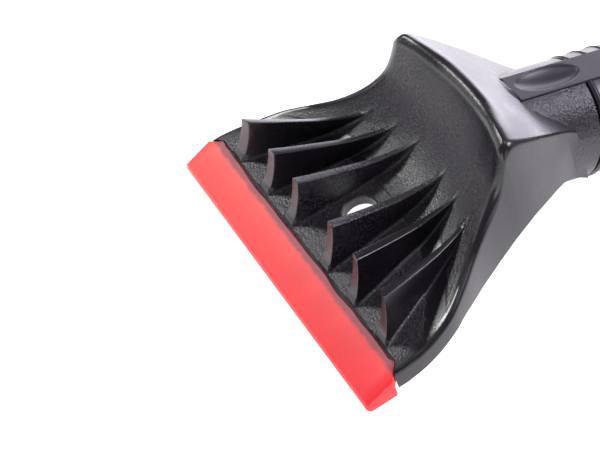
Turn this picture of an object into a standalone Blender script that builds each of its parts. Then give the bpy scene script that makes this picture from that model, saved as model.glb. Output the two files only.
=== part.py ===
"""Windshield ice scraper: a wide moulded head with six ice-breaking fins, a red plastic blade on
its front lip, and a short ribbed handle. Units are metres. Two frames carry everything:

- plate frame: X to the right along the blade, Y back towards the handle, Z up, with Z = 0 on the
  flat top of the head's plate and Y = 0 at the blade's nose;
- handle frame: its origin is the centre of the seam between head and grip, and +Y runs back along
  the handle's axis, which slopes down from the plate by NECK_TILT.

The whole tool then lies on a table, on the blade's edge and the end cap.
"""
import math

import bmesh
import bpy
from mathutils import Matrix, Vector

MM = 0.001
GAP = 0.3 * MM                          # clearance kept between pieces that touch

# Blade
BLADE_HALF = 50.0 * MM                  # half of the blade's 100 mm width
BLADE_BOTTOM = -6.8 * MM
BLADE_NOSE_TOP = (0.2 * MM, -3.75 * MM)
BLADE_REAR_TOP = (11.3 * MM, 0.45 * MM)
BLADE_JAW_REAR = 9.0 * MM
BLADE_SKIN = 0.9 * MM                   # red skin over the head's front tongue
CORNER_HALF = 46.0 * MM                 # beyond this the rear corners are cut off
CORNER_SLOPE = 0.75

# Plate and dish of the head, as a profile along the centre plane
PLATE_FRONT = 11.6 * MM
PLATE_THICK = 3.1 * MM
DISH_START = 36.5 * MM
DISH_RADIUS = 27.5 * MM
DISH_SWEEP = math.radians(70.9)
HOLLOW_SWEEP = math.radians(64)         # the hollow's roof stops short of the crest
BOW = 1 / 0.120                         # y = s - BOW * x * x gives the dish its curved plan
BOW_LOSS = 0.24                         # share of the bow that the dish loses on its way up
BOW_LOSS_FROM = math.radians(31)        # the dish's turn where that loss begins, and its reach
BOW_LOSS_OVER = math.radians(29)
CREST_BOW = (0.76, 0.50)                # share of the bow at the crest's front and rear
CREST_RADIUS = 2.6 * MM
CORNER_LIFT = 1.5 * MM                  # the ridge is higher at its corners than in its middle
CORNER_LIFT_FROM = 7.0 * MM
CORNER_LIFT_OVER = 13.0 * MM
LIFT_STARTS = math.radians(50)          # the dish's turn where the corners begin to rise
LIFT_HOLDS = 0.4                        # share of the crest's turn that keeps the full rise
BACK_SLOPE = math.radians(49.7)
BACK_END = 84.0 * MM
WALL = 2.8 * MM

# Plan of the head's outer wall, its bottom edge and its edge rounding, as (y, value) in mm
OUTER_PLAN = ((8, 49.6), (18, 48.2), (28, 44.8), (35, 40.2), (42, 34.9), (48, 31.3), (54, 28.7),
              (59, 27.0), (65.4, 24.5), (74.5, 19.7), (81, 15.9), (84, 15.0))
EDGE_ROUND = ((8, 1.0), (28, 1.6), (45, 2.4), (59, 2.9), (67, 1.6), (74.5, 1.0), (84, 0.8))
BOTTOM_EDGE = ((8, -5.2), (20, -5.3), (28, -4.8), (33, -5.0), (40, -7.2), (46, -8.6), (52, -8.5),
               (58, -7.6), (64, -7.2), (69, -8.2), (73, -9.3), (77, -11.3), (84, -19.0))

# Fins
FIN_FRONT_X = (9.6 * MM, 23.4 * MM, 38.6 * MM)
FIN_REAR = ((6.8 * MM, 51.2 * MM), (15.2 * MM, 50.0 * MM), (23.7 * MM, 47.4 * MM))
FIN_FRONT_EDGE = ((0, -1.5), (0.1, 0), (1.9, 2.4), (3.3, 5.0), (4.9, 9.0), (5.8, 12.3))
FIN_TOP_EDGE = ((0, 12.3), (0.165, 10.1), (0.38, 7.5), (0.57, 5.4), (0.76, 4.1), (0.9, 3.6), (1, 3.7))
FIN_ROOT_EDGE = ((1, 1.2), (0.75, -1.0), (0.5, -1.5))
FIN_HALF_TOP = 1.5 * MM
FIN_HALF_FOOT = 2.4 * MM
FIN_HALF_TAIL = 0.6 * MM

HOLE_CENTRE_Y = 28.0 * MM
HOLE_RADIUS = 4.7 * MM

# Neck and handle
NECK_TILT = math.radians(20)
SEAM_CENTRE = Vector((0, 88.7 * MM, -11.7 * MM))
NECK_RADIUS = 15.9 * MM
NECK_FRONT = -28.0 * MM
SEAM_GAP = 0.5 * MM
SOCKET_RADIUS = 11.0 * MM
SOCKET_DEPTH = 18.0 * MM
CORE_WALL = 2.2 * MM
CORE_FRONT = -17.0 * MM
GRIP_LENGTH = 125.0 * MM
RING_PITCH = 5.35 * MM
RING_FIRST = 1.0 * MM
RING_HEIGHT = 0.4 * MM
RING_COUNT = 23
SPINE_TOP = 15.4 * MM
SPINE_HALF = 5.0 * MM
SPINE_THICK = 2.6 * MM
SPINE_FRONT = -19.2 * MM
SCOOP_CENTRE = -8.0 * MM
SCOOP_SIZE = (4.8 * MM, 10.6 * MM, 3.6 * MM)
SCOOP_LIFT = 1.8 * MM
CAP_RADIUS = 16.6 * MM
CAP_LENGTH = 6.0 * MM
CAP_SPIGOT = 14.0 * MM
TAB_HALF_WIDTH = 11.0 * MM
TAB_HALF_THICK = 4.0 * MM
TAB_REACH = 10.0 * MM
HANG_HOLE_RADIUS = 4.5 * MM
HEAD_SCREW_Y = -8.0 * MM
CAP_SCREW_Y = 118.0 * MM
SCREW_HEAD_RADIUS = 3.0 * MM
SCREW_HEAD_HEIGHT = 2.0 * MM
SCREW_SHANK_RADIUS = 1.5 * MM
SCREW_LENGTH = 12.0 * MM


def along(points, at, unit=MM):
    """Value at a place on a smooth curve through (place, value) points given in mm."""
    at = min(max(at / unit, points[0][0]), points[-1][0])
    last = len(points) - 2
    k = next(i for i in range(last + 1) if at <= points[i + 1][0] or i == last)
    (x0, y0), (x1, y1) = points[k], points[k + 1]

    def slope(i):
        low, high = points[max(i - 1, 0)], points[min(i + 1, len(points) - 1)]
        return (high[1] - low[1]) / (high[0] - low[0])

    t = (at - x0) / (x1 - x0)
    width = x1 - x0
    value = ((1 + 2 * t) * (1 - t) ** 2 * y0 + t * (1 - t) ** 2 * width * slope(k)
             + t * t * (3 - 2 * t) * y1 + t * t * (t - 1) * width * slope(k + 1))
    return value * MM


def smooth(t):
    """Ease from 0 to 1, level at both ends."""
    t = min(max(t, 0.0), 1.0)
    return t * t * (3 - 2 * t)


def bow_at(s):
    """How much a line across the head bends forward at its ends, for its place s on the centre plane."""
    return BOW * (s - PLATE_FRONT) / (DISH_START - PLATE_FRONT)


def lift_at(x):
    """How much the ridge rises towards its corners."""
    return CORNER_LIFT * smooth((abs(x) - CORNER_LIFT_FROM) / CORNER_LIFT_OVER)


def profile(depth):
    """Centre-plane profile (s, z, bow, share of the corner lift) of the plate, dish, crest and back,
    sunk into the wall by depth."""
    stations = []
    steps = 6
    for k in range(steps):
        s = PLATE_FRONT + (DISH_START - PLATE_FRONT) * k / steps
        stations.append((s, -depth, bow_at(s), 0.0))
    radius = DISH_RADIUS + depth
    sweep = HOLLOW_SWEEP if depth else DISH_SWEEP
    steps = 12
    for k in range(steps + 1):
        turn = sweep * k / steps
        fade = 1 - BOW_LOSS * smooth((turn - BOW_LOSS_FROM) / BOW_LOSS_OVER)
        lift = 0.0 if depth else smooth((turn - LIFT_STARTS) / (DISH_SWEEP - LIFT_STARTS))
        stations.append((DISH_START + radius * math.sin(turn), DISH_RADIUS - radius * math.cos(turn),
                         BOW * fade, lift))
    centre_s = DISH_START + DISH_RADIUS * math.sin(DISH_SWEEP) + CREST_RADIUS * math.sin(DISH_SWEEP)
    centre_z = DISH_RADIUS - (DISH_RADIUS + CREST_RADIUS) * math.cos(DISH_SWEEP)
    if depth == 0:
        steps = 5
        for k in range(1, steps + 1):
            turn = DISH_SWEEP - (DISH_SWEEP + BACK_SLOPE) * k / steps
            share = CREST_BOW[0] + (CREST_BOW[1] - CREST_BOW[0]) * k / steps
            stations.append((centre_s - CREST_RADIUS * math.sin(turn),
                             centre_z + CREST_RADIUS * math.cos(turn), BOW * share,
                             1 - smooth((k / steps - LIFT_HOLDS) / (1 - LIFT_HOLDS))))
    back_s = centre_s + (CREST_RADIUS - depth) * math.sin(BACK_SLOPE)
    back_z = centre_z + (CREST_RADIUS - depth) * math.cos(BACK_SLOPE)
    first = stations[-1][0] if depth else back_s
    steps = 5
    for k in range(1, steps + 1):
        s = first + (BACK_END - first) * k / steps
        bow = 0.0 if depth else BOW * CREST_BOW[1] * (1 - k / steps)
        stations.append((s, back_z - (s - back_s) * math.tan(BACK_SLOPE), bow, 0.0))
    return stations


def rim_half(s, bow, inset):
    """Half-width where the bent line through s meets the head's plan, moved in by inset(y)."""
    low, high = 5 * MM, 60 * MM
    for _ in range(40):
        x = (low + high) / 2
        y = s - bow * x * x
        if x < along(OUTER_PLAN, y) - inset(y):
            low = x
        else:
            high = x
    return low


def front_edge(x):
    """Y of the head's front edge, whose ends follow the blade's cut corners."""
    return PLATE_FRONT - max(0.0, abs(x) - CORNER_HALF) * CORNER_SLOPE


def cut_corners(bm):
    """Draw the ends of the head's front edge forward, alongside the blade's cut corners."""
    for x in (-CORNER_HALF, CORNER_HALF):
        bmesh.ops.bisect_plane(bm, geom=bm.verts[:] + bm.edges[:] + bm.faces[:], plane_co=(x, 0, 0),
                               plane_no=(1, 0, 0))
    for v in bm.verts:
        if abs(v.co.y - PLATE_FRONT) < 0.01 * MM:
            v.co.y = front_edge(v.co.x)


def curved_block(stations, columns, rounding, inset, floor):
    """Closed block under the surface that the stations give; rounding columns roll its edge over."""
    bm = bmesh.new()
    across = columns + 2 * rounding
    bmesh.ops.create_grid(bm, x_segments=across, y_segments=len(stations) - 1, size=1)
    for v in bm.verts:
        i = round((v.co.x + 1) / 2 * across)
        k = round((v.co.y + 1) / 2 * (len(stations) - 1))
        s, z, bow, lift = stations[k]
        half = rim_half(s, bow, inset)
        side = -1 if i < across / 2 else 1
        inner = min(max(i - rounding, 0), columns)
        x = half * (2 * inner / columns - 1)
        y = s - bow * x * x
        z += lift * lift_at(x)
        over = max(rounding - i, i - rounding - columns, 0)
        if over:
            turn = math.pi / 2 * over / rounding
            radius = along(EDGE_ROUND, y)
            x += side * radius * math.sin(turn)
            z -= radius * (1 - math.cos(turn))
        v.co = (x, y, z)
    kept = bmesh.ops.extrude_face_region(bm, geom=bm.faces[:], use_keep_orig=True)
    for v in (g for g in kept["geom"] if isinstance(g, bmesh.types.BMVert)):
        v.co.z = floor(v.co.y)
    if rounding:
        cut_corners(bm)
    bmesh.ops.triangulate(bm, faces=bm.faces)
    bmesh.ops.recalc_face_normals(bm, faces=bm.faces)
    return bm


def prism(outline, x_low, x_high):
    """Solid with a (y, z) outline, from x_low to x_high."""
    bm = bmesh.new()
    face = bm.faces.new([bm.verts.new((x_low, y, z)) for y, z in outline])
    grown = bmesh.ops.extrude_face_region(bm, geom=[face], use_keep_orig=True)
    moved = [g for g in grown["geom"] if isinstance(g, bmesh.types.BMVert)]
    bmesh.ops.translate(bm, verts=moved, vec=(x_high - x_low, 0, 0))
    bmesh.ops.recalc_face_normals(bm, faces=bm.faces)
    return bm


def box(low, high):
    return prism(((low[1], low[2]), (high[1], low[2]), (high[1], high[2]), (low[1], high[2])),
                 low[0], high[0])


def turned(profile_points, segments):
    """Solid of revolution about Y from (radius, y) points; end points on the axis close it."""
    bm = bmesh.new()
    verts = [bm.verts.new((r, y, 0)) for r, y in profile_points]
    edges = [bm.edges.new(pair) for pair in zip(verts, verts[1:])]
    if profile_points[0][0] > 0:
        edges.append(bm.edges.new((verts[-1], verts[0])))
    bmesh.ops.spin(bm, geom=verts + edges, cent=(0, 0, 0), axis=(0, 1, 0), angle=math.tau,
                   steps=segments, use_merge=True)
    bmesh.ops.remove_doubles(bm, verts=bm.verts, dist=0.01 * MM)
    bmesh.ops.recalc_face_normals(bm, faces=bm.faces)
    return bm


def rod(radius, low, high, segments=48):
    return turned(((0, low), (radius, low), (radius, high), (0, high)), segments)


def stood(bm, centre, direction="Z"):
    """Turn a body made along Y to stand along Z, centred on the given point."""
    turn = Matrix.Rotation(math.pi / 2, 4, "X") if direction == "Z" else Matrix()
    bmesh.ops.transform(bm, matrix=Matrix.Translation(centre) @ turn, verts=bm.verts)
    return bm


def merged(bodies):
    """One mesh holding several separate bodies."""
    bm = bmesh.new()
    for body in bodies:
        mesh = bpy.data.meshes.new("body")
        body.to_mesh(mesh)
        body.free()
        bm.from_mesh(mesh)
        bpy.data.meshes.remove(mesh)
    return bm


def material(name, colour, roughness, metallic=0.0):
    made = bpy.data.materials.new(name)
    made.use_nodes = True
    shader = made.node_tree.nodes["Principled BSDF"]
    shader.inputs["Base Color"].default_value = (*colour, 1)
    shader.inputs["Roughness"].default_value = roughness
    shader.inputs["Metallic"].default_value = metallic
    return made


def place(name, bm, parent, finish=None):
    """Make an object of a mesh; without a finish it is a cutter or an added body."""
    mesh = bpy.data.meshes.new(name)
    bm.to_mesh(mesh)
    bm.free()
    thing = bpy.data.objects.new(name, mesh)
    bpy.context.scene.collection.objects.link(thing)
    thing.parent = parent
    if finish:
        mesh.materials.append(finish)
        mesh.shade_smooth()
        mesh.set_sharp_from_angle(angle=math.radians(35))
    else:
        thing.hide_render = True
        thing.display_type = "WIRE"
    return thing


def combine(target, tool, operation):
    modifier = target.modifiers.new(tool.name, "BOOLEAN")
    modifier.operation = operation
    modifier.object = tool
    modifier.solver = "EXACT"


def fin(front_x, rear, side):
    """One upright fin: a thin blade with a swept, flared front edge and a hollow, falling top."""
    start = Vector((side * front_x, PLATE_FRONT, 0))
    end = Vector((side * rear[0], rear[1], 0))
    length = (end - start).length
    run = (end - start).normalized()
    crown = FIN_FRONT_EDGE[-1][0] * MM
    front = [(t * MM, z * MM) for t, z in FIN_FRONT_EDGE]
    top = [(crown + (length - crown) * t, z * MM) for t, z in FIN_TOP_EDGE[1:]]
    outline = front + top + [(length * t, z * MM) for t, z in FIN_ROOT_EDGE]
    bm = prism(outline, -0.5, 0.5)
    for v in bm.verts:
        t = v.co.y / length
        height = min(max(v.co.z / (12 * MM), 0), 1)
        foot = FIN_HALF_FOOT + (FIN_HALF_TOP - FIN_HALF_FOOT) * height ** 0.5
        half = foot + (FIN_HALF_TAIL - foot) * t
        across = math.copysign(half, v.co.x)
        ahead = start + run * v.co.y
        y = max(ahead.y - across * run.x, PLATE_FRONT + 0.05 * MM)
        v.co = Vector((ahead.x + across * run.y, y, v.co.z))
    bmesh.ops.triangulate(bm, faces=bm.faces)
    bmesh.ops.recalc_face_normals(bm, faces=bm.faces)
    return bm


def skin_under(y, sink):
    """Height of the blade's sloping top at y, lowered by sink."""
    (y0, z0), (y1, z1) = BLADE_NOSE_TOP, BLADE_REAR_TOP
    return z0 + (z1 - z0) * (y - y0) / (y1 - y0) - sink


def make_head(plate, handle, finish, screw_space):
    head = place("scraper_head",
                 curved_block(profile(0), 16, 3, lambda y: along(EDGE_ROUND, y),
                              lambda y: along(BOTTOM_EDGE, y)), plate, finish)
    hollow = place("hollow_cutter",
                   curved_block([p for p in profile(PLATE_THICK) if p[0] > 13 * MM], 12, 0,
                                lambda y: WALL, lambda y: -40 * MM), plate)
    ribs = place("rib_bodies",
                 merged([box((x - 1.0 * MM, 5 * MM, -60 * MM), (x + 1.0 * MM, 90 * MM, 40 * MM))
                         for x in (-14 * MM, 14 * MM)]), plate)
    combine(hollow, ribs, "DIFFERENCE")
    combine(head, hollow, "DIFFERENCE")

    neck = place("neck_body", rod(NECK_RADIUS, NECK_FRONT, 0), handle)
    scarf = prism(((40 * MM, -55 * MM), (54 * MM, -6.5 * MM), (82 * MM, -31 * MM), (82 * MM, -55 * MM)),
                  -30 * MM, 30 * MM)
    scarf = place("scarf_cutter", scarf, plate)
    combine(neck, scarf, "DIFFERENCE")
    combine(head, neck, "UNION")

    tongue_tip = 6.2 * MM
    tongue_top = BLADE_SKIN + GAP
    tongue_floor = -PLATE_THICK + 0.05 * MM
    tongue = prism(((12.5 * MM, skin_under(12.5 * MM, tongue_top)),
                    (tongue_tip, skin_under(tongue_tip, tongue_top)),
                    (tongue_tip, tongue_floor), (12.5 * MM, tongue_floor)), -CORNER_HALF, CORNER_HALF)
    combine(head, place("tongue_body", tongue, plate), "UNION")
    fins = merged([fin(x, rear, side) for x, rear in zip(FIN_FRONT_X, FIN_REAR) for side in (-1, 1)])
    combine(head, place("fin_bodies", fins, plate), "UNION")

    hole = stood(rod(HOLE_RADIUS, -10 * MM, 10 * MM, 32), (0, HOLE_CENTRE_Y, 0))
    combine(head, place("hole_cutter", hole, plate), "DIFFERENCE")
    socket = place("socket_cutter", rod(SOCKET_RADIUS, -SOCKET_DEPTH, 5 * MM, 40), handle)
    slot = box((-SPINE_HALF - GAP, SPINE_FRONT - GAP, SPINE_TOP - SPINE_THICK - GAP),
               (SPINE_HALF + GAP, 6 * MM, 25 * MM))
    combine(socket, place("spine_slot_body", slot, handle), "UNION")
    combine(socket, screw_space, "UNION")
    combine(head, socket, "DIFFERENCE")
    return head


def screw_outline(extra):
    """(radius, y) outline of a pan-head screw along Y, its head at the low end, grown by extra."""
    head_low = -NECK_RADIUS + 0.6 * MM
    head_high = head_low + SCREW_HEAD_HEIGHT + extra
    if extra:
        head_low -= 4 * MM
    tip = -NECK_RADIUS + SCREW_LENGTH + extra
    return ((0, head_low), (SCREW_HEAD_RADIUS + extra, head_low), (SCREW_HEAD_RADIUS + extra, head_high),
            (SCREW_SHANK_RADIUS + extra, head_high), (SCREW_SHANK_RADIUS + extra, tip), (0, tip))


def make_screw_space(name, y, handle):
    return place(name, stood(turned(screw_outline(GAP), 20), (0, y, 0)), handle)


def make_screw(name, y, handle, finish):
    """One of the pan-head screws that pin head and cap to the core, with a cross recess."""
    screw = place(name, stood(turned(screw_outline(0), 20), (0, y, 0)), handle, finish)
    low = -NECK_RADIUS - 1 * MM
    high = -NECK_RADIUS + 1.7 * MM
    long_arm = box((-1.7 * MM, y - 0.4 * MM, low), (1.7 * MM, y + 0.4 * MM, high))
    short_arm = box((-0.4 * MM, y - 1.7 * MM, low), (0.4 * MM, y + 1.7 * MM, high))
    combine(screw, place(name + "_arm_cutter", long_arm, handle), "DIFFERENCE")
    combine(screw, place(name + "_cross_cutter", short_arm, handle), "DIFFERENCE")
    return screw


def make_blade(plate, finish):
    """Wedge-shaped blade with a blunt nose, and a groove behind that takes the head's tongue."""
    y_rear, z_rear = BLADE_REAR_TOP
    outline = ((0.6 * MM, BLADE_BOTTOM), (-0.35 * MM, -5.4 * MM), BLADE_NOSE_TOP, (y_rear, z_rear),
               (y_rear, -PLATE_THICK - GAP), (BLADE_JAW_REAR, -PLATE_THICK - GAP),
               (BLADE_JAW_REAR - 0.6 * MM, BLADE_BOTTOM))
    bm = prism(outline, -BLADE_HALF, BLADE_HALF)
    for x in (-CORNER_HALF, CORNER_HALF):
        bmesh.ops.bisect_plane(bm, geom=bm.verts[:] + bm.edges[:] + bm.faces[:], plane_co=(x, 0, 0),
                               plane_no=(1, 0, 0))
    for v in bm.verts:
        limit = y_rear - (abs(v.co.x) - CORNER_HALF) * CORNER_SLOPE
        if abs(v.co.x) > CORNER_HALF + MM and v.co.y > limit:
            if v.co.z > 0:
                v.co.z = skin_under(limit, 0)
            v.co.y = limit
    bmesh.ops.remove_doubles(bm, verts=bm.verts, dist=0.01 * MM)
    bmesh.ops.recalc_face_normals(bm, faces=bm.faces)
    blade = place("scraper_blade", bm, plate, finish)
    inner = 5.9 * MM
    floor = -PLATE_THICK - GAP
    groove = prism(((inner, skin_under(inner, BLADE_SKIN)), (14 * MM, skin_under(14 * MM, BLADE_SKIN)),
                    (14 * MM, floor), (inner, floor)), -CORNER_HALF - GAP, CORNER_HALF + GAP)
    combine(blade, place("groove_cutter", groove, plate), "DIFFERENCE")
    return blade


def make_core(handle, finish, screw_spaces):
    """Stiff tube that joins head, grip and cap."""
    outer = SOCKET_RADIUS - GAP
    inner = outer - CORE_WALL
    end = SEAM_GAP + GRIP_LENGTH
    tube = turned(((outer, CORE_FRONT), (outer, end), (inner, end), (inner, CORE_FRONT)), 40)
    core = place("handle_core", tube, handle, finish)
    for space in screw_spaces:
        combine(core, space, "DIFFERENCE")
    return core


def make_grip(handle, finish, screw_space):
    """Sleeve with low rings, which stop at the slot for the spine."""
    low = SEAM_GAP
    high = SEAM_GAP + GRIP_LENGTH
    outer = [(NECK_RADIUS, low)]
    for k in range(RING_COUNT):
        y = RING_FIRST + RING_PITCH * k
        for step, rise in ((-0.4, 0), (0.1, 1), (0.7, 1), (1.2, 0)):
            outer.append((NECK_RADIUS + RING_HEIGHT * rise, y + step * MM))
    outer.append((NECK_RADIUS, high))
    outer += [(SOCKET_RADIUS, high), (SOCKET_RADIUS, low)]
    grip = place("grip_sleeve", turned(outer, 26), handle, finish)
    slot = box((-SPINE_HALF - GAP, -5 * MM, SPINE_TOP - SPINE_THICK - GAP),
               (SPINE_HALF + GAP, high + 5 * MM, 25 * MM))
    combine(grip, place("grip_slot_cutter", slot, handle), "DIFFERENCE")
    combine(grip, screw_space, "DIFFERENCE")
    return grip


def make_spine(handle, finish):
    """Smooth flat strip let into the top of neck and grip, with an oval scoop for the thumb."""
    strip = box((-SPINE_HALF, SPINE_FRONT, SPINE_TOP - SPINE_THICK),
                (SPINE_HALF, SEAM_GAP + GRIP_LENGTH, SPINE_TOP))
    spine = place("top_spine", strip, handle, finish)
    bm = bmesh.new()
    bmesh.ops.create_uvsphere(bm, u_segments=32, v_segments=16, radius=1)
    bmesh.ops.scale(bm, vec=SCOOP_SIZE, verts=bm.verts)
    bmesh.ops.translate(bm, vec=(0, SCOOP_CENTRE, SPINE_TOP + SCOOP_LIFT), verts=bm.verts)
    combine(spine, place("scoop_cutter", bm, handle), "DIFFERENCE")
    return spine


def make_cap(handle, finish, screw_space):
    """End cap: a spigot in the core, a round flange and a flat tab with a hanging hole."""
    low = SEAM_GAP + GRIP_LENGTH + GAP
    high = low + CAP_LENGTH
    spigot = SOCKET_RADIUS - GAP - CORE_WALL - GAP
    body = turned(((0, low - CAP_SPIGOT), (spigot, low - CAP_SPIGOT), (spigot, low), (CAP_RADIUS, low),
                   (CAP_RADIUS, high - 2 * MM), (CAP_RADIUS - 0.6 * MM, high - 0.6 * MM),
                   (CAP_RADIUS - 2 * MM, high), (0, high)), 48)
    cap = place("end_cap", body, handle, finish)
    combine(cap, screw_space, "DIFFERENCE")
    eye = high + TAB_REACH - TAB_HALF_WIDTH + 4 * MM
    outline = [(high - 3 * MM, -TAB_HALF_WIDTH)]
    steps = 24
    for k in range(steps + 1):
        turn = math.pi * (k / steps - 0.5)
        outline.append((eye + TAB_HALF_WIDTH * math.cos(turn), TAB_HALF_WIDTH * math.sin(turn)))
    outline.append((high - 3 * MM, TAB_HALF_WIDTH))
    tab = prism(outline, -TAB_HALF_THICK, TAB_HALF_THICK)
    bmesh.ops.rotate(tab, verts=tab.verts, cent=(0, 0, 0), matrix=Matrix.Rotation(math.pi / 2, 3, "Y"))
    combine(cap, place("tab_body", tab, handle), "UNION")
    hang = stood(rod(HANG_HOLE_RADIUS, -10 * MM, 10 * MM, 32), (0, eye + 1.5 * MM, 0))
    combine(cap, place("hang_hole_cutter", hang, handle), "DIFFERENCE")
    return cap


def lowest_tilt():
    """Turn about X that lays the tool on the blade's edge and the end cap's rim."""
    reach = SEAM_GAP + GRIP_LENGTH + GAP + CAP_LENGTH - 2 * MM
    cap_y = SEAM_CENTRE.y + reach * math.cos(NECK_TILT) - CAP_RADIUS * math.sin(NECK_TILT)
    cap_z = SEAM_CENTRE.z - reach * math.sin(NECK_TILT) - CAP_RADIUS * math.cos(NECK_TILT)
    return math.atan2(BLADE_BOTTOM - cap_z, cap_y - 0.6 * MM)


def stand_on_table(plate, pieces):
    """Move the plate frame so that the tool's box stands on Z = 0, centred on the Z axis."""
    bpy.context.view_layer.update()
    graph = bpy.context.evaluated_depsgraph_get()
    low = Vector((1, 1, 1))
    high = Vector((-1, -1, -1))
    for piece in pieces:
        shown = piece.evaluated_get(graph)
        for v in shown.to_mesh().vertices:
            at = piece.matrix_world @ v.co
            low = Vector(map(min, low, at))
            high = Vector(map(max, high, at))
        shown.to_mesh_clear()
    plate.location -= Vector(((low.x + high.x) / 2, (low.y + high.y) / 2, low.z))


def main():
    for thing in list(bpy.data.objects):
        bpy.data.objects.remove(thing)
    black = material("black_head_plastic", (0.035, 0.034, 0.038), 0.45)
    red = material("red_blade_plastic", (0.90, 0.04, 0.06), 0.3)
    grip_black = material("black_grip_plastic", (0.032, 0.032, 0.035), 0.55)
    spine_black = material("smooth_spine_plastic", (0.05, 0.048, 0.055), 0.35)
    core_grey = material("core_plastic", (0.12, 0.12, 0.13), 0.5)
    steel = material("screw_steel", (0.6, 0.6, 0.62), 0.3, 1.0)

    plate = bpy.data.objects.new("plate_frame", None)
    handle = bpy.data.objects.new("handle_frame", None)
    for frame in (plate, handle):
        bpy.context.scene.collection.objects.link(frame)
    plate.rotation_euler.x = lowest_tilt()
    handle.parent = plate
    handle.location = SEAM_CENTRE
    handle.rotation_euler.x = -NECK_TILT

    head_space = make_screw_space("head_screw_space", HEAD_SCREW_Y, handle)
    cap_space = make_screw_space("cap_screw_space", CAP_SCREW_Y, handle)
    pieces = [
        make_head(plate, handle, black, head_space),
        make_blade(plate, red),
        make_core(handle, core_grey, (head_space, cap_space)),
        make_grip(handle, grip_black, cap_space),
        make_spine(handle, spine_black),
        make_cap(handle, grip_black, cap_space),
        make_screw("head_screw", HEAD_SCREW_Y, handle, steel),
        make_screw("cap_screw", CAP_SCREW_Y, handle, steel),
    ]
    stand_on_table(plate, pieces)


main()
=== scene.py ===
# %% [markdown]
# # A windshield ice scraper
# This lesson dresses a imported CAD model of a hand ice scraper. The CAD says where everything is. Here each
# visible piece is rebuilt with finer curves, rounded edges and a material of its own, and then lit and framed.
# Lengths are metres. The scraper lies on a table, blade towards -Y and handle towards +Y.

import math

import bmesh
import bpy
from mathutils import Matrix, Vector, noise


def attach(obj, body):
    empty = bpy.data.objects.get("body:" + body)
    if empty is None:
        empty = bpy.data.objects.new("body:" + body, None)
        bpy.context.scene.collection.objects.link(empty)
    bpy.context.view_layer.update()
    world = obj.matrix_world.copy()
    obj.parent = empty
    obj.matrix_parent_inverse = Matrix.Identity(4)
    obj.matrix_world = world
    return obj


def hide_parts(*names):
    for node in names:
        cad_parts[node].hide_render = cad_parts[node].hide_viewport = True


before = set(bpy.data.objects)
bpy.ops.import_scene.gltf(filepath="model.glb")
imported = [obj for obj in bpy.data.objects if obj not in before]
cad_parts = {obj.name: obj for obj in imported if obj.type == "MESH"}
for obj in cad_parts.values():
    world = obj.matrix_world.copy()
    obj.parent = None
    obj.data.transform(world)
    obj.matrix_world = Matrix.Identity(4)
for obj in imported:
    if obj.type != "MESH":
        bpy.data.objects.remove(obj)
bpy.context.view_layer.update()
MM = 0.001
print("CAD nodes:", sorted(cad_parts))

# %% [markdown]
# ## Two frames to work in
# The head and its blade are easiest to draw with the plate level: X along the blade, Y back, and Z = 0 on the
# plate. The handle slopes down from that by 20 degrees, so it gets a frame of its own, with Y along its axis.
# Both are found from the flat strip on top of the handle: its face gives the direction, and its ends give the
# place.

# %% Find the handle and plate frames
NECK_TILT = math.radians(20)
SEAM_CENTRE = Vector((0, 88.7, -11.7)) * MM      # middle of the joint between head and grip, on the plate
SPINE_TOP = 15.4 * MM                            # height of the strip's face above the handle's axis
SPINE_FRONT = -19.2 * MM                         # where the strip starts, ahead of the joint

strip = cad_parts["top_spine"].data
face = max((p for p in strip.polygons if p.normal.z > 0.9), key=lambda p: p.area)
across = Vector((1, 0, 0))
up = Vector((0, face.normal.y, face.normal.z)).normalized()
back = up.cross(across)
start = min(v.co.dot(back) for v in strip.vertices) - SPINE_FRONT
level = max(v.co.dot(up) for v in strip.vertices) - SPINE_TOP
handle = Matrix.Translation(back * start + up * level) @ Matrix((across, back, up)).transposed().to_4x4()
plate = handle @ (Matrix.Translation(SEAM_CENTRE) @ Matrix.Rotation(-NECK_TILT, 4, "X")).inverted()

lowest = min((plate.inverted() @ v.co).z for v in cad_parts["scraper_blade"].data.vertices)
print("plate tilt:", round(math.degrees(plate.to_euler().x), 2), "degrees")
print("blade underside below the plate:", round(lowest / MM, 2), "mm")

# %% [markdown]
# ## Camera
# The scraper is seen from above and from its right, with a long lens that hardly shows perspective, and the
# camera is rolled so that the blade runs from upper left to lower right. The camera is placed in the plate's
# frame, because the plate is what faces it.

# %% Place the camera
CAMERA_TURN = 1.3806329                          # round the plate from the blade's side
CAMERA_RISE = 0.8373569                          # above the plate
CAMERA_ROLL = -0.4096678
CAMERA_PLACE = Vector((330.464, -51.224, 380.792)) * MM
LENS_MM = 121.222

towards = Vector((math.sin(CAMERA_TURN) * math.cos(CAMERA_RISE),
                  -math.cos(CAMERA_TURN) * math.cos(CAMERA_RISE), math.sin(CAMERA_RISE)))
side = Vector((0, 0, 1)).cross(towards).normalized()
top = towards.cross(side)
right = side * math.cos(CAMERA_ROLL) + top * math.sin(CAMERA_ROLL)
upright = top * math.cos(CAMERA_ROLL) - side * math.sin(CAMERA_ROLL)
turn = Matrix((right, upright, towards)).transposed().to_4x4()

camera = bpy.data.objects.new("camera", bpy.data.cameras.new("camera"))
camera.data.lens = LENS_MM
camera.data.sensor_width = 36.0
camera.data.clip_start = 0.01
camera.matrix_world = plate @ Matrix.Translation(CAMERA_PLACE) @ turn
bpy.context.scene.collection.objects.link(camera)
bpy.context.scene.camera = camera
print("camera at", [round(c / MM) for c in camera.matrix_world.translation], "mm")

# %% [markdown]
# ## Colours and nodes
# Colours are picked as screen hex values, and the shader works in linear light, so one function converts
# them. A second function adds a shader node, sets it up and links it.

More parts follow.
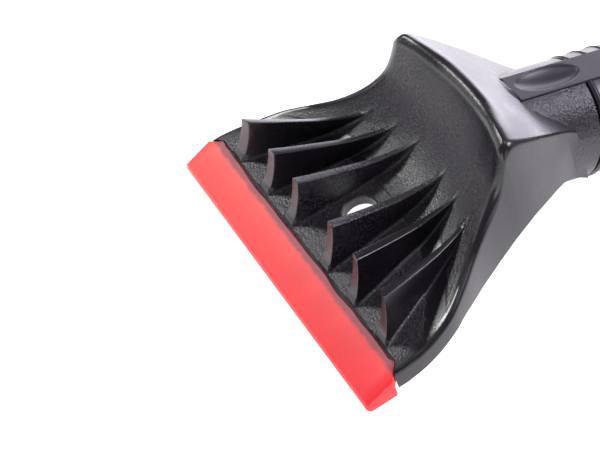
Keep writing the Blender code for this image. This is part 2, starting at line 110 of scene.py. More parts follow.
# %% Colour and node helpers
def linear(hex_colour):
    """Linear RGBA of an sRGB hex colour."""
    channels = [int(hex_colour[i:i + 2], 16) / 255 for i in (1, 3, 5)]
    return (*[c / 12.92 if c <= 0.04045 else ((c + 0.055) / 1.055) ** 2.4 for c in channels], 1.0)


def add_node(tree, kind, settings=None, inputs=None):
    """Add a node; a socket given as an input is linked, and any other value is set."""
    node = tree.nodes.new(kind)
    for name, value in (settings or {}).items():
        setattr(node, name, value)
    for name, value in (inputs or {}).items():
        if isinstance(value, bpy.types.NodeSocket):
            tree.links.new(value, node.inputs[name])
        else:
            node.inputs[name].default_value = value
    return node


def new_material(name):
    """Empty node material with its output; returns the material and its tree."""
    made = bpy.data.materials.new(name)
    made.use_nodes = True
    made.node_tree.nodes.clear()
    return made, made.node_tree


def per_mm(size):
    """Scale of a texture whose features are size millimetres wide, on coordinates in metres."""
    return 1000.0 / size


def shade(tree, inputs):
    """Principled shader with these inputs, wired to the material's output."""
    shader = add_node(tree, "ShaderNodeBsdfPrincipled", None, inputs)
    add_node(tree, "ShaderNodeOutputMaterial", None, {"Surface": shader.outputs["BSDF"]})
    return shader


print("black plastic in linear light:", [round(c, 4) for c in linear("#1d1c1f")])

# %% [markdown]
# ## Curves shared by the head's parts
# The head is defined by a few short tables: its plan, how much its edge is rounded, how deep its sides are, and
# the outline of a fin. A smooth curve through a table's points gives every place in between.

# %% Smooth curves through tables
def along(points, at):
    """Value at a place on a smooth curve through (place, value) points, all in mm; gives metres."""
    at = min(max(at / MM, points[0][0]), points[-1][0])
    last = len(points) - 2
    k = next(i for i in range(last + 1) if at <= points[i + 1][0] or i == last)
    (x0, y0), (x1, y1) = points[k], points[k + 1]

    def slope(i):
        low, high = points[max(i - 1, 0)], points[min(i + 1, len(points) - 1)]
        return (high[1] - low[1]) / (high[0] - low[0])

    t = (at - x0) / (x1 - x0)
    wide = x1 - x0
    value = ((1 + 2 * t) * (1 - t) ** 2 * y0 + t * (1 - t) ** 2 * wide * slope(k)
             + t * t * (3 - 2 * t) * y1 + t * t * (t - 1) * wide * slope(k + 1))
    return value * MM


def ease(t):
    """From 0 to 1, level at both ends."""
    t = min(max(t, 0.0), 1.0)
    return t * t * (3 - 2 * t)


OUTER_PLAN = ((8, 49.6), (18, 48.2), (28, 44.8), (35, 40.2), (42, 34.9), (48, 31.3), (54, 28.7),
              (59, 27.0), (65.4, 24.5), (74.5, 19.7), (81, 15.9), (84, 15.0))
EDGE_ROUND = ((8, 1.0), (28, 1.6), (45, 2.4), (59, 2.9), (67, 1.6), (74.5, 1.0), (84, 0.8))
BOTTOM_EDGE = ((8, -5.2), (20, -5.3), (28, -4.8), (33, -5.0), (40, -7.2), (46, -8.6), (52, -8.5),
               (58, -7.6), (64, -7.2), (69, -8.2), (73, -9.3), (77, -11.3), (84, -19.0))
print("half-width of the head 40 mm back:", round(along(OUTER_PLAN, 40 * MM) / MM, 1), "mm")

# %% [markdown]
# ## The head's centre line
# Seen from the side the head is a flat plate, then a dish that curls up through 71 degrees, then a small round
# crest and a straight slope down to the neck. Each station on that line is a row of the head's surface. A row
# isn't straight across: it bows forward at its ends, which is what gives the dish its curved plan.

# %% Stations along the centre line
PLATE_FRONT = 11.6 * MM
PLATE_THICK = 3.1 * MM
DISH_START = 36.5 * MM
DISH_RADIUS = 27.5 * MM
DISH_SWEEP = math.radians(70.9)
HOLLOW_SWEEP = math.radians(64)                  # the hollow's roof stops short of the crest
BOW = 1 / 0.120
BOW_LOSS = 0.24                                  # share of the bow that the dish loses on its way up
BOW_LOSS_FROM = math.radians(31)                 # the dish's turn where that loss begins, and its reach
BOW_LOSS_OVER = math.radians(29)
CREST_BOW = (0.76, 0.50)                         # share of the bow at the crest's front and rear
CREST_RADIUS = 2.6 * MM
CORNER_LIFT = 1.43 * MM                          # the ridge is higher at its corners than in its middle
CORNER_LIFT_FROM = 7.0 * MM
CORNER_LIFT_OVER = 13.0 * MM
LIFT_STARTS = math.radians(50)                   # the dish's turn where the corners begin to rise
LIFT_HOLDS = 0.4                                 # share of the crest's turn that keeps the full rise
BACK_SLOPE = math.radians(49.7)
BACK_END = 84.0 * MM
STEP_HEIGHT = 0.3 * MM                           # low step where the plate meets the dish
STEP_HALF = 16.0 * MM
STEP_REACH = 7.0 * MM
STEP_EDGE = 0.15 * MM                            # length of the step's riser
STEP_CLEAR = 0.4 * MM                            # the last plate row keeps this far from the step
FIN_ZONE = 9.9 * MM                              # behind the front edge the fins' noses need close rows


def spread(low, high, spacing):
    """Evenly spaced places from low up to high, without high."""
    count = max(1, round((high - low) / spacing))
    return [low + (high - low) * k / count for k in range(count)]


def bow_at(s):
    return BOW * min(max((s - PLATE_FRONT) / (DISH_START - PLATE_FRONT), 0.0), 1.0)


def lift_at(x):
    """How much the ridge rises towards its corners."""
    return CORNER_LIFT * ease((abs(x) - CORNER_LIFT_FROM) / CORNER_LIFT_OVER)


def step_at(x, s):
    """Height of the low step that closes the middle of the plate and dies out up the dish."""
    if s < DISH_START - STEP_EDGE / 3:
        return 0.0
    return STEP_HEIGHT * (1 - ease((abs(x) - STEP_HALF) / MM)) * (1 - ease((s - DISH_START) / STEP_REACH))


def stations(depth, close, wide):
    """Rows (s, z, bow, share of the corner lift), sunk into the wall by depth."""
    rows = [(s, -depth, bow_at(s), 0.0) for s in spread(PLATE_FRONT, PLATE_FRONT + FIN_ZONE, close)]
    rows += [(s, -depth, bow_at(s), 0.0)
             for s in spread(PLATE_FRONT + FIN_ZONE, DISH_START - STEP_CLEAR, wide)]
    rows.append((DISH_START - STEP_EDGE, -depth, bow_at(DISH_START), 0.0))
    radius = DISH_RADIUS + depth
    sweep = HOLLOW_SWEEP if depth else DISH_SWEEP
    steps = round(radius * sweep / wide)
    for k in range(steps + 1):
        angle = sweep * k / steps
        fade = 1 - BOW_LOSS * ease((angle - BOW_LOSS_FROM) / BOW_LOSS_OVER)
        lift = 0.0 if depth else ease((angle - LIFT_STARTS) / (DISH_SWEEP - LIFT_STARTS))
        rows.append((DISH_START + radius * math.sin(angle), DISH_RADIUS - radius * math.cos(angle),
                     BOW * fade, lift))
    centre_s = DISH_START + (DISH_RADIUS + CREST_RADIUS) * math.sin(DISH_SWEEP)
    centre_z = DISH_RADIUS - (DISH_RADIUS + CREST_RADIUS) * math.cos(DISH_SWEEP)
    if not depth:
        steps = 9
        for k in range(1, steps + 1):
            angle = DISH_SWEEP - (DISH_SWEEP + BACK_SLOPE) * k / steps
            share = CREST_BOW[0] + (CREST_BOW[1] - CREST_BOW[0]) * k / steps
            rows.append((centre_s - CREST_RADIUS * math.sin(angle), centre_z + CREST_RADIUS * math.cos(angle),
                         BOW * share, 1 - ease((k / steps - LIFT_HOLDS) / (1 - LIFT_HOLDS))))
    back_s = centre_s + (CREST_RADIUS - depth) * math.sin(BACK_SLOPE)
    back_z = centre_z + (CREST_RADIUS - depth) * math.cos(BACK_SLOPE)
    first = rows[-1][0] if depth else back_s
    for s in spread(first, BACK_END, 2 * wide)[1:] + [BACK_END]:
        bow = 0.0 if depth else BOW * CREST_BOW[1] * (BACK_END - s) / (BACK_END - first)
        rows.append((s, back_z - (s - back_s) * math.tan(BACK_SLOPE), bow, 0.0))
    return rows


rows = stations(0, 0.3 * MM, 0.8 * MM)
print(len(rows), "rows, crest", round(max(row[1] for row in rows) / MM, 1), "mm above the plate")

# %% [markdown]
# ## The fins
# Six fins break up ice. Each is a thin upright blade, moulded with the plate: its nose rises in a hollow curve,
# its top falls away towards the dish, and it gets thinner to the rear. The fins open out like a fan towards the
# blade. A fin's cross-section is a flat top with rounded edges, leaning sides and a small fillet at the foot.

# %% A fin's height and cross-section
FIN_LINES = tuple((side * front * MM, side * rear * MM, rear_y * MM)
                  for side, order in ((-1, (2, 1, 0)), (1, (0, 1, 2)))
                  for front, rear, rear_y in [((9.6, 6.8, 51.2), (23.4, 15.2, 50.0), (38.6, 23.7, 47.4))[k]
                                              for k in order])
NOSE_EDGE = ((0, -1.5), (0.1, 0), (1.9, 2.4), (3.3, 5.0), (4.9, 9.0), (5.8, 12.3))
TOP_EDGE = ((0, 12.3), (0.165, 10.1), (0.38, 7.5), (0.57, 5.4), (0.76, 4.1), (0.9, 3.6), (1, 3.7))
NOSE = NOSE_EDGE[-1][0] * MM
HALF_TOP = 1.5 * MM
HALF_FOOT = 2.4 * MM
HALF_TAIL = 0.6 * MM
TOP_ROUND = 0.35 * MM
FOOT_FILLET = 0.9 * MM
ARC_STEPS = 4


def fin_height(t, length):
    """Height of the fin's edge at t along it."""
    if t < NOSE:
        return along(NOSE_EDGE, max(t, 0))
    return along(TOP_EDGE, (t - NOSE) / (length - NOSE) * MM)


def fin_half(z, t, length):
    """Half-thickness at a height, thinner towards the tail."""
    share = min(max(z / (12 * MM), 0.0), 1.0)
    foot = HALF_FOOT + (HALF_TOP - HALF_FOOT) * math.sqrt(share)
    return foot + (HALF_TAIL - foot) * min(t / length, 1.0)


def fin_section(top, base, t, length):
    """Half of a fin's cross-section, as (offset, rise above the plate), from its middle outwards."""
    over = top - base
    rise = (over + math.hypot(over, 0.5 * MM)) / 2
    half_top = fin_half(top, t, length)
    half_foot = max(fin_half(base, t, length), half_top + 0.15 * MM)
    edge = min(TOP_ROUND, 0.35 * rise)
    fillet = min(FOOT_FILLET, 0.45 * rise)
    points = [(0, rise)]
    for k in range(ARC_STEPS + 1):
        angle = math.pi / 2 * k / ARC_STEPS
        points.append((half_top - TOP_ROUND * (1 - math.sin(angle)), rise - edge * (1 - math.cos(angle))))
    for share in (0.35, 0.7):
        points.append((half_top + (half_foot - half_top) * share ** 1.5,
                       (rise - edge) * (1 - share) + fillet * share))
    for k in range(ARC_STEPS + 1):
        angle = math.pi / 2 * k / ARC_STEPS
        points.append((half_foot + FOOT_FILLET * (1 - math.cos(angle)), fillet * (1 - math.sin(angle))))
    return points


print("section points on each side:", len(fin_section(12 * MM, 0, NOSE, 40 * MM)))

# %% [markdown]
# ## Weaving the fins into the head's rows
# Every row of the head runs from rim to rim, crossing all six fins. Its columns are bunched up round each fin,
# so that plate, fin and fillet are one skin with no seams, as they are in the mould. Behind the fins the same
# columns carry on up the dish.

# %% One row across the head
GAP_STEPS = 5
EDGE_STEPS = 9
ROUND_STEPS = 6


def rim_half(s, bow, inset):
    """Half-width where the bowed row through s meets the head's plan, moved in by inset(y)."""
    low, high = 5 * MM, 60 * MM
    for _ in range(40):
        x = (low + high) / 2
        y = s - bow * x * x
        if x < along(OUTER_PLAN, y) - inset(y):
            low = x
        else:
            high = x
    return low


def edge_round(y):
    return along(EDGE_ROUND, y)


def fin_columns(line, s, z, bow, half):
    """Columns (x, rise) of one fin in the row at s."""
    x0, x1, y1 = line
    run = Vector((x1 - x0, y1 - PLATE_FRONT))
    length = run.length
    t = 0.0
    for _ in range(12):
        x = x0 + run.x / length * t
        t = (s - bow * x * x - PLATE_FRONT) / (run.y / length)
    if t <= length:
        points = fin_section(fin_height(t, length), z, t, length)
        middle = x0 + run.x / length * t
        shrink = length / run.y
    else:
        points = [(offset, 0.0) for offset, rise in fin_section(0, z, length, length)]
        tail_s = y1 + BOW * x1 * x1
        shrink = half / rim_half(tail_s, BOW, edge_round)
        middle = x1 * shrink
    left = [(middle - offset * shrink, rise) for offset, rise in reversed(points[1:])]
    return left + [(middle + offset * shrink, rise) for offset, rise in points]


def between(low, high, steps):
    """Steps - 1 columns on the bare plate between two places."""
    return [(low + (high - low) * k / steps, 0.0) for k in range(1, steps)]


def head_row(s, z, bow, lift):
    """All (x, y, z) points of a row, from the foot of the left rim to the foot of the right one."""
    half = rim_half(s, bow, edge_round)
    columns = [(-half, 0.0)]
    for k, line in enumerate(FIN_LINES):
        fin = fin_columns(line, s, z, bow, half)
        columns += between(columns[-1][0], fin[0][0], GAP_STEPS if k else EDGE_STEPS) + fin
    columns += between(columns[-1][0], half, EDGE_STEPS) + [(half, 0.0)]
    flat = [(x, s - bow * x * x, z + max(rise, step_at(x, s)) + lift * lift_at(x)) for x, rise in columns]
    rims = []
    for x, y, height in (flat[0], flat[-1]):
        rim = []
        for k in range(1, ROUND_STEPS + 1):
            angle = math.pi / 2 * k / ROUND_STEPS
            rim.append((x + math.copysign(edge_round(y) * math.sin(angle), x), y,
                        height - edge_round(y) * (1 - math.cos(angle))))
        rims.append(rim)
    return rims[0][::-1] + flat + rims[1]


print("columns in a row:", len(head_row(*rows[0])))

# %% [markdown]
# ## From rows to a closed block
# A grid with one vertex for each row and column is laid over those points, then its faces are extruded
# downwards to the head's bottom edge. That gives a closed body for the cutters to work on.

# %% Grids laid over rows
CORNER_HALF = 46.0 * MM
CORNER_SLOPE = 0.75


def block(points, floor):
    """Closed body under a sheet of points[row][column], with its underside at floor(y)."""
    bm = bmesh.new()
    last_row, last_column = len(points) - 1, len(points[0]) - 1
    bmesh.ops.create_grid(bm, x_segments=last_column, y_segments=last_row, size=1)
    for v in bm.verts:
        column = round((v.co.x + 1) / 2 * last_column)
        row = round((v.co.y + 1) / 2 * last_row)
        v.co = points[row][column]
    grown = bmesh.ops.extrude_face_region(bm, geom=bm.faces[:], use_keep_orig=True)
    for v in (g for g in grown["geom"] if isinstance(g, bmesh.types.BMVert)):
        v.co.z = floor(v.co.y)
    bmesh.ops.recalc_face_normals(bm, faces=bm.faces)
    return bm


def front_edge(x):
    """Y of the head's front edge; its ends run forward beside the blade's cut corners."""
    return PLATE_FRONT - max(0.0, abs(x) - CORNER_HALF) * CORNER_SLOPE


sheet = [head_row(*row) for row in rows]
sheet[0] = [(x, front_edge(x), z) for x, y, z in sheet[0]]
head_block = block(sheet, lambda y: along(BOTTOM_EDGE, y))
print("head block:", len(head_block.faces), "faces")

# %% [markdown]
# ## Simple solids and how they are combined
# The rest of the head comes from plain solids: a prism for a straight section, and a spun profile for anything
# round. Boolean modifiers join them to the block or cut them out of it. When a piece is done its modifiers are
# applied, and its mesh is moved into the row's frame, so that the object itself stays at the origin.

# %% Solids, Booleans and finishing
def prism(outline, x_low, x_high):
    """Solid with a (y, z) outline, from x_low to x_high."""
    bm = bmesh.new()
    face = bm.faces.new([bm.verts.new((x_low, y, z)) for y, z in outline])
    grown = bmesh.ops.extrude_face_region(bm, geom=[face], use_keep_orig=True)
    moved = [g for g in grown["geom"] if isinstance(g, bmesh.types.BMVert)]
    bmesh.ops.translate(bm, verts=moved, vec=(x_high - x_low, 0, 0))
    bmesh.ops.recalc_face_normals(bm, faces=bm.faces)
    return bm


def brick(low, high):
    return prism(((low[1], low[2]), (high[1], low[2]), (high[1], high[2]), (low[1], high[2])),
                 low[0], high[0])


def turned(outline, segments=96):
    """Solid of revolution about Y from (radius, y) points; ends on the axis close it."""
    bm = bmesh.new()
    verts = [bm.verts.new((r, y, 0)) for r, y in outline]
    edges = [bm.edges.new(pair) for pair in zip(verts, verts[1:])]
    if outline[0][0] > 0:
        edges.append(bm.edges.new((verts[-1], verts[0])))
    bmesh.ops.spin(bm, geom=verts + edges, cent=(0, 0, 0), axis=(0, 1, 0), angle=math.tau,
                   steps=segments, use_merge=True)
    bmesh.ops.remove_doubles(bm, verts=bm.verts, dist=0.002 * MM)
    bmesh.ops.recalc_face_normals(bm, faces=bm.faces)
    return bm


def soften(bm, width, least_angle=30, segments=3):
    """Round off every edge sharper than least_angle degrees."""
    sharp = [e for e in bm.edges if e.is_manifold and e.calc_face_angle() > math.radians(least_angle)]
    bmesh.ops.bevel(bm, geom=sharp, offset=width, offset_type="OFFSET", affect="EDGES", segments=segments,
                    profile=0.5, material=-1, clamp_overlap=True)
    return bm


def in_frame(bm, where):
    bmesh.ops.transform(bm, matrix=where, verts=bm.verts)
    return bm


def as_object(name, bm):
    mesh = bpy.data.meshes.new(name)
    bm.to_mesh(mesh)
    bm.free()
    thing = bpy.data.objects.new(name, mesh)
    bpy.context.scene.collection.objects.link(thing)
    return thing


def carve(target, steps):
    """Apply (operation, body) Booleans to an object's mesh, one after another."""
    tools = []
    for operation, body in steps:
        tool = as_object("tool", body)
        modifier = target.modifiers.new("step", "BOOLEAN")
        modifier.operation = operation
        modifier.object = tool
        modifier.solver = "MANIFOLD"
        tools.append(tool)
    graph = bpy.context.evaluated_depsgraph_get()
    done = bpy.data.meshes.new_from_object(target.evaluated_get(graph))
    target.modifiers.clear()
    target.data = done
    for tool in tools:
        bpy.data.objects.remove(tool)
    return target


def finish(thing, node, finish_material, sharp=26):
    """Smooth the shading between sharp edges, give the finish, and stand in for the CAD node."""
    thing.data.materials.clear()
    thing.data.materials.append(finish_material)
    thing.data.shade_smooth()
    thing.data.set_sharp_from_angle(angle=math.radians(sharp))
    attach(thing, "root")
    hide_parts(node)
    count = sum(len(p.vertices) - 2 for p in thing.data.polygons)
    print(thing.name, "stands for", node, "with", count, "triangles")
    return thing


print("ready to carve")

# %% [markdown]
# ## Black moulded plastic
# The head is ABS, injection moulded in a spark-eroded steel mould. The mould's fine pits leave a grain that
# sparkles where light grazes it. Real spark erosion is finer than this, but at 0.6 mm the grain begins to show.
# Part of the sparkle is painted: lighter specks in the colour are painted glints.

# %% Spark-eroded ABS
GRAIN_MM = 0.6


def moulded_black(name, colour, glint_colour, roughness, grain_mm, depth_mm, grain_map=None):
    """Black plastic with grain and painted glints; grain_map names an attribute that says how strong both are.
    """
    made, tree = new_material(name)
    place = add_node(tree, "ShaderNodeTexCoord").outputs["Object"]
    grain = add_node(tree, "ShaderNodeTexNoise", None,
                     {"Vector": place, "Scale": per_mm(grain_mm), "Detail": 3.0, "Roughness": 0.65})
    cloud = add_node(tree, "ShaderNodeTexNoise", None,
                     {"Vector": place, "Scale": per_mm(9.0), "Detail": 2.0, "Roughness": 0.5})
    share = add_node(tree, "ShaderNodeValue").outputs[0]
    share.default_value = 1.0
    if grain_map:
        share = add_node(tree, "ShaderNodeAttribute", {"attribute_name": grain_map}).outputs["Fac"]
    # Painted glints: the grain's high points get the lighter colour, standing in for light catching them.
    glint_speck = add_node(tree, "ShaderNodeMapRange", None,
                     {"Value": grain.outputs["Fac"], "From Min": 0.45, "From Max": 0.7})
    glint_mask = add_node(tree, "ShaderNodeMath", {"operation": "MULTIPLY"},
                       {0: glint_speck.outputs["Result"], 1: share})
    colours = add_node(tree, "ShaderNodeMix", {"data_type": "RGBA"},
                       {0: glint_mask.outputs[0], 6: linear(colour), 7: linear(glint_colour)})
    dull = add_node(tree, "ShaderNodeMapRange", None,
                    {"Value": cloud.outputs["Fac"], "From Min": 0.3, "From Max": 0.7,
                     "To Min": roughness - 0.04, "To Max": roughness + 0.05})
    height = add_node(tree, "ShaderNodeMath", {"operation": "MULTIPLY"}, {0: grain.outputs["Fac"], 1: share})
    bump = add_node(tree, "ShaderNodeBump", None,
                    {"Height": height.outputs[0], "Strength": 1.0, "Distance": depth_mm * MM})
    shade(tree, {"Base Color": colours.outputs[2], "Roughness": dull.outputs["Result"],
                 "Normal": bump.outputs["Normal"], "IOR": 1.53})
    return made


# The head's lighter speck colour, #3a363d, is a painted glint.
black_abs = moulded_black("spark_eroded_abs", "#0e0b10", "#3a363d", 0.28, GRAIN_MM, 0.2, "grain")
print("grain scale:", round(per_mm(GRAIN_MM)), "per metre")

# %% [markdown]
# ## Carving the head
# Under the plate the moulding is hollow, with two ribs and a boss that runs on as the neck. The neck is a
# cylinder cut off by a slanting plane in front. The blade's tongue is joined on at the front edge, and the
# round hole, the handle's socket and the strip's slot are cut last.

# %% The head's cutters
WALL = 2.8 * MM
NECK_RADIUS = 15.9 * MM
NECK_FRONT = -28.0 * MM
SOCKET_RADIUS = 11.0 * MM
SOCKET_DEPTH = 18.0 * MM
GAP = 0.3 * MM
HOLE_Y = 28.0 * MM
HOLE_RADIUS = 4.7 * MM
HOLE_CHAMFER = 0.35 * MM
SCARF = ((40, -55), (54, -6.5), (82, -31), (82, -55))     # (y, z) in mm of what is cut off the neck
RIB_X = 14.0 * MM
RIB_HALF = 1.0 * MM
SPINE_HALF = 5.0 * MM
SPINE_THICK = 2.6 * MM
SEAM_CHAMFER = 0.3 * MM
BLADE_SKIN = 0.9 * MM
BLADE_NOSE_TOP = (0.2 * MM, -3.75 * MM)
BLADE_REAR_TOP = (11.3 * MM, 0.45 * MM)
TONGUE_TIP = 6.2 * MM
TONGUE_ROOT = 12.5 * MM
HANDLE_IN_PLATE = Matrix.Translation(SEAM_CENTRE) @ Matrix.Rotation(-NECK_TILT, 4, "X")
UPRIGHT = Matrix.Rotation(math.pi / 2, 4, "X")


def under_skin(y, sink):
    """Height of the blade's sloping top at y, lowered by sink."""
    (y0, z0), (y1, z1) = BLADE_NOSE_TOP, BLADE_REAR_TOP
    return z0 + (z1 - z0) * (y - y0) / (y1 - y0) - sink


def hollow_body():
    """The space under the plate, less its two ribs."""
    inner = []
    for s, z, bow, lift in stations(PLATE_THICK, 1.5 * MM, 2.0 * MM):
        if s > 13 * MM:
            half = rim_half(s, bow, lambda y: WALL)
            xs = [half * k / 16 for k in range(-16, 17)]
            inner.append([(x, s - bow * x * x, z) for x in xs])
    space = as_object("space", block(inner, lambda y: -40 * MM))
    ribs = [brick((x - RIB_HALF, 5 * MM, -60 * MM), (x + RIB_HALF, 90 * MM, 40 * MM))
            for x in (-RIB_X, RIB_X)]
    carve(space, [("DIFFERENCE", rib) for rib in ribs])
    bm = bmesh.new()
    bm.from_mesh(space.data)
    bpy.data.objects.remove(space)
    return bm


def neck_body():
    """The neck's cylinder, cut off in front by the scarf."""
    rim = ((0, NECK_FRONT), (NECK_RADIUS, NECK_FRONT), (NECK_RADIUS, -SEAM_CHAMFER),
           (NECK_RADIUS - SEAM_CHAMFER, 0), (0, 0))
    neck = as_object("neck", in_frame(turned(rim, 128), HANDLE_IN_PLATE))
    scarf = prism([(y * MM, z * MM) for y, z in SCARF], -30 * MM, 30 * MM)
    carve(neck, [("DIFFERENCE", scarf)])
    bm = bmesh.new()
    bm.from_mesh(neck.data)
    bpy.data.objects.remove(neck)
    return bm


tongue = prism(((TONGUE_ROOT, under_skin(TONGUE_ROOT, BLADE_SKIN + GAP)),
                (TONGUE_TIP, under_skin(TONGUE_TIP, BLADE_SKIN + GAP)),
                (TONGUE_TIP, 0.05 * MM - PLATE_THICK), (TONGUE_ROOT, 0.05 * MM - PLATE_THICK)),
               -CORNER_HALF, CORNER_HALF)
HOLE_REACH = 10 * MM
hole = turned(((0, -HOLE_REACH), (HOLE_RADIUS, -HOLE_REACH), (HOLE_RADIUS, -HOLE_CHAMFER),
               (HOLE_RADIUS + HOLE_CHAMFER, 0.02 * MM), (HOLE_RADIUS + HOLE_CHAMFER, HOLE_REACH),
               (0, HOLE_REACH)), 64)
in_frame(hole, Matrix.Translation((0, HOLE_Y, 0)) @ UPRIGHT)
print("hole:", 2 * HOLE_RADIUS / MM, "mm across")

# %% [markdown]
# ## Screws and their spaces
# A screw from below holds each end of the handle's core. The screw's outline is also used, a little larger, to
# cut the hole that it stands in.

# %% Screw outline
SCREW_HEAD = 3.0 * MM
SCREW_HEAD_HEIGHT = 2.0 * MM
SCREW_SHANK = 1.5 * MM
SCREW_LENGTH = 12.0 * MM
SCREW_SINK = 0.6 * MM
HEAD_SCREW_Y = -8.0 * MM
CAP_SCREW_Y = 118.0 * MM


def screw_outline(extra, reach):
    """(radius, y) outline of a pan-head screw, grown by extra, its head drawn out by reach."""
    low = SCREW_SINK - NECK_RADIUS
    seat = low + SCREW_HEAD_HEIGHT + extra
    tip = SCREW_LENGTH - NECK_RADIUS + extra
    return ((0, low - reach), (SCREW_HEAD + extra, low - reach), (SCREW_HEAD + extra, seat),
            (SCREW_SHANK + extra, seat), (SCREW_SHANK + extra, tip), (0, tip))


def screw_space(y):
    return in_frame(turned(screw_outline(GAP, 4 * MM), 40), Matrix.Translation((0, y, 0)) @ UPRIGHT)


print("screw length:", SCREW_LENGTH / MM, "mm")

# %% Join and cut the head
slot = brick((-SPINE_HALF - GAP, SPINE_FRONT - GAP, SPINE_TOP - SPINE_THICK - GAP),
             (SPINE_HALF + GAP, 6 * MM, 25 * MM))
socket = turned(((0, -SOCKET_DEPTH), (SOCKET_RADIUS, -SOCKET_DEPTH), (SOCKET_RADIUS, 5 * MM), (0, 5 * MM)), 96)
head = as_object("moulded_head", head_block)
carve(head, [("DIFFERENCE", hollow_body()), ("UNION", neck_body()), ("UNION", tongue), ("DIFFERENCE", hole),
             ("DIFFERENCE", in_frame(socket, HANDLE_IN_PLATE)),
             ("DIFFERENCE", in_frame(slot, HANDLE_IN_PLATE)),
             ("DIFFERENCE", in_frame(screw_space(HEAD_SCREW_Y), HANDLE_IN_PLATE))])

# %% [markdown]
# ## Where the grain is
# The mould's grain is strong on the plate, in the dish and on the neck. The rim, the crest, the back slope, the
# side walls and the fins were polished, so they keep only a trace of it. That share is stored on every vertex,
# and it sets the painted glints in the colour as well as the grain's bumps.

# %% Grain strength
TRACE = 0.16                                     # share of the grain left on the polished parts
CREST_GRAIN = 0.45
RIM_BAND = (2.2 * MM, 4.7 * MM)                  # from the rim inwards, where the grain comes in
FIN_BAND = (0.8 * MM, 1.8 * MM)                  # height above the plate where it goes off on a fin
HIGH_BAND = (14 * MM, 20 * MM)                   # height in the dish where it weakens towards the crest


def fade_in(value, band):
    """From 0 to 1 as the value goes from the band's low end to its high end."""
    return ease((value - band[0]) / (band[1] - band[0]))


def grain_share(at, normal):
    """How strong the mould's grain is at a place on the head, in the plate's frame."""
    along_handle = HANDLE_IN_PLATE.inverted() @ at
    if math.hypot(along_handle.x, along_handle.z) < NECK_RADIUS + 0.1 * MM and normal.y > -0.6:
        return 1.0
    if at.y > BACK_END or at.z < -0.6 * MM or abs(normal.x) > 0.75:
        return TRACE
    s = at.y + BOW * at.x * at.x
    edge = along(OUTER_PLAN, at.y) - abs(at.x)
    inside = fade_in(edge, RIM_BAND)
    if s < DISH_START:
        return TRACE + (1 - TRACE) * inside * (1 - fade_in(at.z, FIN_BAND))
    surface = DISH_RADIUS - math.sqrt(max(DISH_RADIUS ** 2 - (s - DISH_START) ** 2, 0.0))
    fin = ease((at.z - surface - MM) / MM) if s < DISH_START + 0.6 * DISH_RADIUS else 0.0
    level = 1 + (CREST_GRAIN - 1) * fade_in(at.z, HIGH_BAND)
    if normal.y > -0.25:
        level = TRACE
    return TRACE + (level - TRACE) * inside * (1 - fin)


shares = [grain_share(v.co, v.normal) for v in head.data.vertices]
head.data.attributes.new("grain", "FLOAT", "POINT").data.foreach_set("value", shares)
print("vertices with full grain:", sum(share > 0.9 for share in shares), "of", len(shares))

# %% Stand in for the CAD head
head.data.transform(plate)
finish(head, "scraper_head", black_abs)

# %% [markdown]
# ## The red blade
# The blade is a translucent plastic wedge that grips the head's tongue. Its edges are softly rounded, and its
# rear edge, where it laps over the plate, is slightly wavy, as a moulded lip is.

# %% Blade body
BLADE_HALF = 50.0 * MM
BLADE_BOTTOM = -6.8 * MM
BLADE_JAW_REAR = 9.0 * MM
BLADE_ROUND = 0.45 * MM
WAVE_STEP = 2.0 * MM
WAVE_LENGTH = 9.0 * MM
WAVE_DEPTH = 0.9 * MM
GROOVE_TIP = 5.9 * MM
GROOVE_END = 14.0 * MM


def blade_body():
    y_rear, z_rear = BLADE_REAR_TOP
    under = -PLATE_THICK - GAP
    outline = ((0.6 * MM, BLADE_BOTTOM), (-0.35 * MM, -5.4 * MM), BLADE_NOSE_TOP, (y_rear, z_rear),
               (y_rear, under), (BLADE_JAW_REAR, under), (BLADE_JAW_REAR - 0.6 * MM, BLADE_BOTTOM))
    bm = prism(outline, -BLADE_HALF, BLADE_HALF)
    for x in (-CORNER_HALF, CORNER_HALF):
        bmesh.ops.bisect_plane(bm, geom=bm.verts[:] + bm.edges[:] + bm.faces[:], plane_co=(x, 0, 0),
                               plane_no=(1, 0, 0))
    for v in bm.verts:
        limit = y_rear - (abs(v.co.x) - CORNER_HALF) * CORNER_SLOPE
        if abs(v.co.x) > CORNER_HALF + MM and v.co.y > limit:
            if v.co.z > 0:
                v.co.z = under_skin(limit, 0)
            v.co.y = limit
    bmesh.ops.remove_doubles(bm, verts=bm.verts, dist=0.01 * MM)
    for x in spread(-CORNER_HALF, CORNER_HALF, WAVE_STEP)[1:]:
        bmesh.ops.bisect_plane(bm, geom=bm.verts[:] + bm.edges[:] + bm.faces[:], plane_co=(x, 0, 0),
                               plane_no=(1, 0, 0))
    for v in bm.verts:
        if abs(v.co.y - y_rear) < 0.01 * MM and v.co.z > 0 and abs(v.co.x) < CORNER_HALF - MM:
            wave = 0.5 + 0.5 * noise.noise(Vector((v.co.x / WAVE_LENGTH, 0.5, 0.5)))
            v.co.y -= WAVE_DEPTH * wave
            v.co.z = under_skin(v.co.y, 0)
    bmesh.ops.recalc_face_normals(bm, faces=bm.faces)
    return bm


groove = prism(((GROOVE_TIP, under_skin(GROOVE_TIP, BLADE_SKIN)),
                (GROOVE_END, under_skin(GROOVE_END, BLADE_SKIN)),
                (GROOVE_END, -PLATE_THICK - GAP), (GROOVE_TIP, -PLATE_THICK - GAP)),
               -CORNER_HALF - GAP, CORNER_HALF + GAP)
blade = as_object("red_blade", soften(blade_body(), BLADE_ROUND, 20))
carve(blade, [("DIFFERENCE", groove)])
print("blade:", len(blade.data.polygons), "faces")
